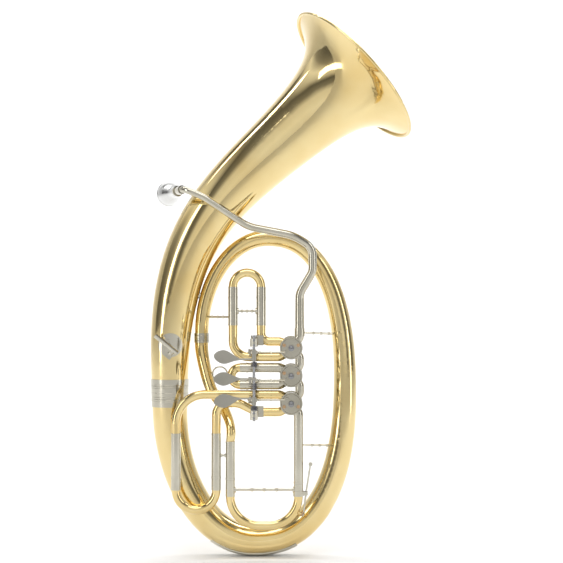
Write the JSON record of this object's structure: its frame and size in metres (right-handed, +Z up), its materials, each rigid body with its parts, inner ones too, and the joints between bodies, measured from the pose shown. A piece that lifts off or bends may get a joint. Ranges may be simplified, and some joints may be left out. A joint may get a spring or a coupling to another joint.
{
  "type": "tenor horn",
  "caption": "Oval rotary-valve tenor horn: wide conical bell branch, leadpipe with mouthpiece, lever-driven rotary valves and pull slides.",
  "frame": {"origin": "under the middle of the instrument's bounding box, at its lowest point", "axes": "+Z up along the oval, +X towards the side the bell points to, +Y from the levers to the player"},
  "size_m": [0.3852, 0.262, 0.8018],
  "materials": {
    "brass": "clear lacquered, polished",
    "nickel_silver": "polished nickel silver",
    "silver_plate": "silver plated, polished",
    "steel": "machined",
    "blue_steel": "blued spring steel",
    "satin_nickel": "satin",
    "cork": "natural cork"
  },
  "bodies": {
    "horn_body": {"bell": "brass", "rim_wire": "steel", "top_branch": "brass", "bottom_bow": "brass", "bell_ferrule": "nickel_silver", "bow_guard": "nickel_silver", "tail_branch": "brass", "branch_ferrule": "nickel_silver", "valve_casings": "nickel_silver", "face_plates": "nickel_silver", "rear_caps": "nickel_silver", "valve_knuckles": "nickel_silver", "first_elbows": "brass", "third_elbows": "brass", "first_outer_legs": "nickel_silver", "second_outer_legs": "nickel_silver", "third_outer_legs": "nickel_silver", "main_outer_legs": "nickel_silver", "lever_axle": "steel", "lever_brackets": "nickel_silver", "lever_springs": "blue_steel", "cork_bumpers": "cork", "leadpipe": "nickel_silver", "mouthpiece_receiver": "nickel_silver", "right_braces": "nickel_silver", "left_braces": "nickel_silver", "small_brace": "nickel_silver", "branch_bridge": "nickel_silver", "leadpipe_fittings": "nickel_silver", "thumb_ring": "nickel_silver", "lyre_plate": "nickel_silver", "lyre_socket": "nickel_silver", "bracket_screws": "steel"},
    "main_slide": {"main_slide_legs": "nickel_silver", "main_slide_bow": "brass", "main_slide_brace": "nickel_silver", "water_key_saddle": "nickel_silver"},
    "water_key": {"water_key": "nickel_silver", "water_key_cork": "cork"},
    "first_slide": {"first_slide_legs": "nickel_silver", "first_slide_bow": "brass"},
    "second_slide": {"second_slide_legs": "nickel_silver", "second_slide_bow": "brass"},
    "third_slide": {"third_slide_legs": "nickel_silver", "third_slide_bow": "brass"},
    "mouthpiece": {"mouthpiece": "silver_plate"},
    "lyre_screw": {"lyre_screw": "nickel_silver"},
    "lever_1": {"lever_1": "satin_nickel"},
    "rotor_1": {"rotor_1": "steel", "stop_arm_1": "nickel_silver"},
    "link_rod_1": {"link_rod_1": "nickel_silver"},
    "lever_2": {"lever_2": "satin_nickel"},
    "rotor_2": {"rotor_2": "steel", "stop_arm_2": "nickel_silver"},
    "link_rod_2": {"link_rod_2": "nickel_silver"},
    "lever_3": {"lever_3": "satin_nickel"},
    "rotor_3": {"rotor_3": "steel", "stop_arm_3": "nickel_silver"},
    "link_rod_3": {"link_rod_3": "nickel_silver"}
  },
  "joints": [
    {"name": "main_slide_pull", "type": "slide", "parent": "horn_body", "child": "main_slide", "axis": [0, 0, -1], "range_m": [0, 0.045]},
    {"name": "first_slide_pull", "type": "slide", "parent": "horn_body", "child": "first_slide", "axis": [0, 0, 1], "range_m": [0, 0.03]},
    {"name": "second_slide_pull", "type": "slide", "parent": "horn_body", "child": "second_slide", "axis": [-1, 0, 0], "range_m": [0, 0.02]},
    {"name": "third_slide_pull", "type": "slide", "parent": "horn_body", "child": "third_slide", "axis": [0, 0, -1], "range_m": [0, 0.045]},
    {"name": "mouthpiece_pull", "type": "slide", "parent": "horn_body", "child": "mouthpiece", "axis": [-0.3029, 0.9527, -0.026], "range_m": [0, 0.02]},
    {"name": "lyre_screw_turn", "type": "hinge", "parent": "horn_body", "child": "lyre_screw", "pos_m": [-0.15659, -0.0688, 0.30345], "axis": [-0.6342, 0, -0.7732], "continuous": true},
    {"name": "water_key_tilt", "type": "hinge", "parent": "main_slide", "child": "water_key", "pos_m": [0.03538, -0.07137, 0.09682], "axis": [0, -1, 0], "range_deg": [0, 8], "stiffness_Nm_per_rad": 0.05, "springref_deg": -20.05},
    {"name": "lever_1_press", "type": "hinge", "parent": "horn_body", "child": "lever_1", "pos_m": [-0.03892, -0.12437, 0.26752], "axis": [0, 0, -1], "range_deg": [0, 24.36], "stiffness_Nm_per_rad": 0.12, "springref_deg": -28.65},
    {"name": "rotor_1_turn", "type": "hinge", "parent": "horn_body", "child": "rotor_1", "pos_m": [0.01398, -0.07137, 0.30752], "axis": [0, -1, 0], "range_deg": [0, 90.01]},
    {"name": "link_rod_1_swing", "type": "hinge", "parent": "rotor_1", "child": "link_rod_1", "pos_m": [0.00796, -0.09652, 0.30151], "axis": [0, 1, 0], "range_deg": [0, 90.01]},
    {"name": "lever_2_press", "type": "hinge", "parent": "horn_body", "child": "lever_2", "pos_m": [-0.03892, -0.12437, 0.26752], "axis": [0, 0, -1], "range_deg": [0, 24.36], "stiffness_Nm_per_rad": 0.12, "springref_deg": -28.65},
    {"name": "rotor_2_turn", "type": "hinge", "parent": "horn_body", "child": "rotor_2", "pos_m": [0.01398, -0.07137, 0.26752], "axis": [0, -1, 0], "range_deg": [0, 90.01]},
    {"name": "link_rod_2_swing", "type": "hinge", "parent": "rotor_2", "child": "link_rod_2", "pos_m": [0.00796, -0.09652, 0.2615], "axis": [0, 1, 0], "range_deg": [0, 90.01]},
    {"name": "lever_3_press", "type": "hinge", "parent": "horn_body", "child": "lever_3", "pos_m": [-0.03892, -0.12437, 0.26752], "axis": [0, 0, -1], "range_deg": [0, 24.36], "stiffness_Nm_per_rad": 0.12, "springref_deg": -28.65},
    {"name": "rotor_3_turn", "type": "hinge", "parent": "horn_body", "child": "rotor_3", "pos_m": [0.01398, -0.07137, 0.22752], "axis": [0, 1, 0], "range_deg": [0, 90.01]},
    {"name": "link_rod_3_swing", "type": "hinge", "parent": "rotor_3", "child": "link_rod_3", "pos_m": [0.00796, -0.09652, 0.23353], "axis": [0, -1, 0], "range_deg": [0, 90.01]}
  ],
  "couplings": [
    {"joint": "rotor_1_turn", "follows": "lever_1_press", "ratio": 3.695},
    {"joint": "link_rod_1_swing", "follows": "lever_1_press", "ratio": 3.695},
    {"joint": "rotor_2_turn", "follows": "lever_2_press", "ratio": 3.695},
    {"joint": "link_rod_2_swing", "follows": "lever_2_press", "ratio": 3.695},
    {"joint": "rotor_3_turn", "follows": "lever_3_press", "ratio": 3.695},
    {"joint": "link_rod_3_swing", "follows": "lever_3_press", "ratio": 3.695}
  ]
}
